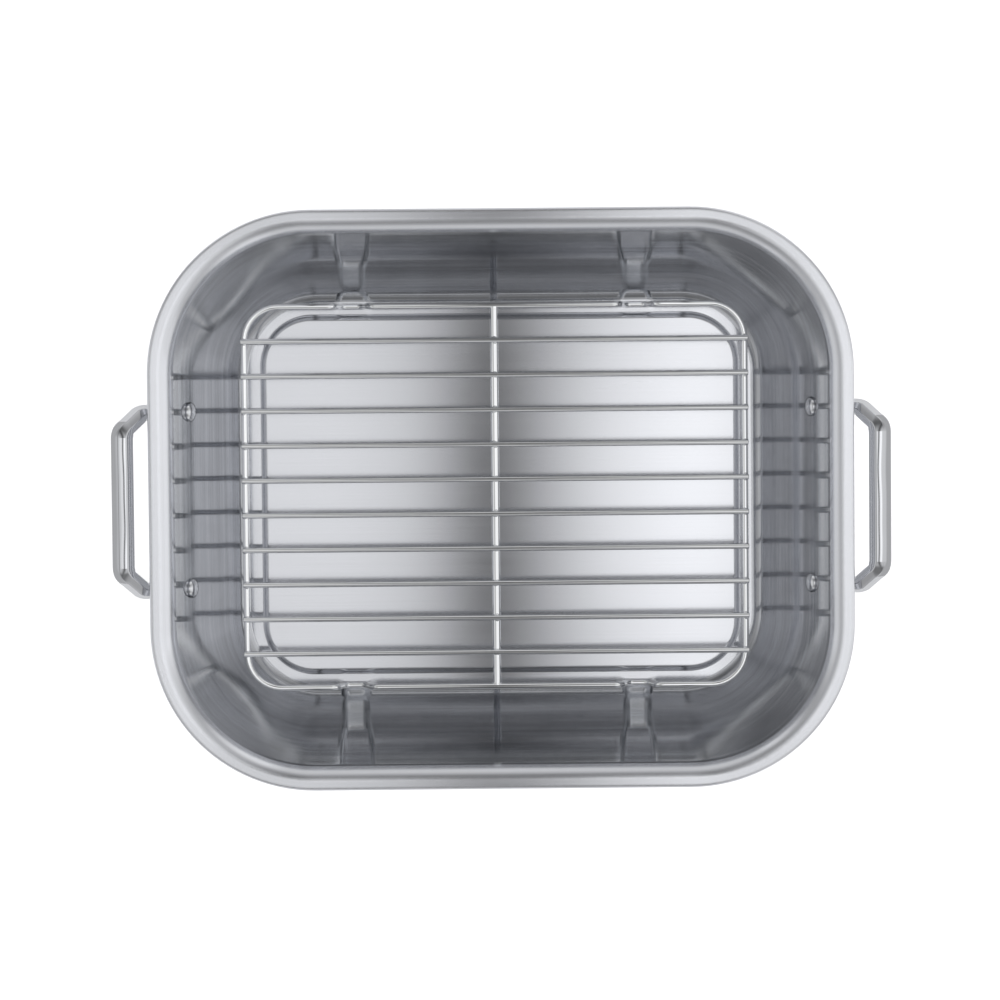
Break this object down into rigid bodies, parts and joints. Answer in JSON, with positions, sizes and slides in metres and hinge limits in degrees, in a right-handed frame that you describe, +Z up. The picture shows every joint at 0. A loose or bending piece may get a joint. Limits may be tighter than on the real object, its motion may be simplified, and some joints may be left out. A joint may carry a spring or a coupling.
{
  "type": "roasting pan with rack",
  "caption": "Deep drawn steel roasting pan with flared rolled rim, raised base panel, riveted bar handles and a loose wire rack that lifts out.",
  "frame": {"origin": "middle of the footprint, on the surface that the pan stands on", "axes": "+X along the pan's length towards the right handle, +Y across it to the rear, +Z up"},
  "size_m": [0.4642, 0.346, 0.1003],
  "materials": {
    "pan_steel": "satin",
    "handle_steel": "polished",
    "rivet_steel": "polished",
    "rack_wire": "polished"
  },
  "bodies": {
    "pan": {"pan_shell": "pan_steel", "handle_left": "handle_steel", "handle_right": "handle_steel", "rivet_left_front": "rivet_steel", "rivet_left_rear": "rivet_steel", "rivet_right_front": "rivet_steel", "rivet_right_rear": "rivet_steel"},
    "rack": {"rack_frame": "rack_wire", "rack_spine": "rack_wire", "cross_wire_01": "rack_wire", "cross_wire_02": "rack_wire", "cross_wire_03": "rack_wire", "cross_wire_04": "rack_wire", "cross_wire_05": "rack_wire", "cross_wire_06": "rack_wire", "cross_wire_07": "rack_wire", "cross_wire_08": "rack_wire", "cross_wire_09": "rack_wire", "cross_wire_10": "rack_wire"}
  },
  "joints": [
    {"name": "rack_lift", "type": "slide", "parent": "pan", "child": "rack", "axis": [0, 0, 1], "range_m": [0, 0.13]}
  ]
}
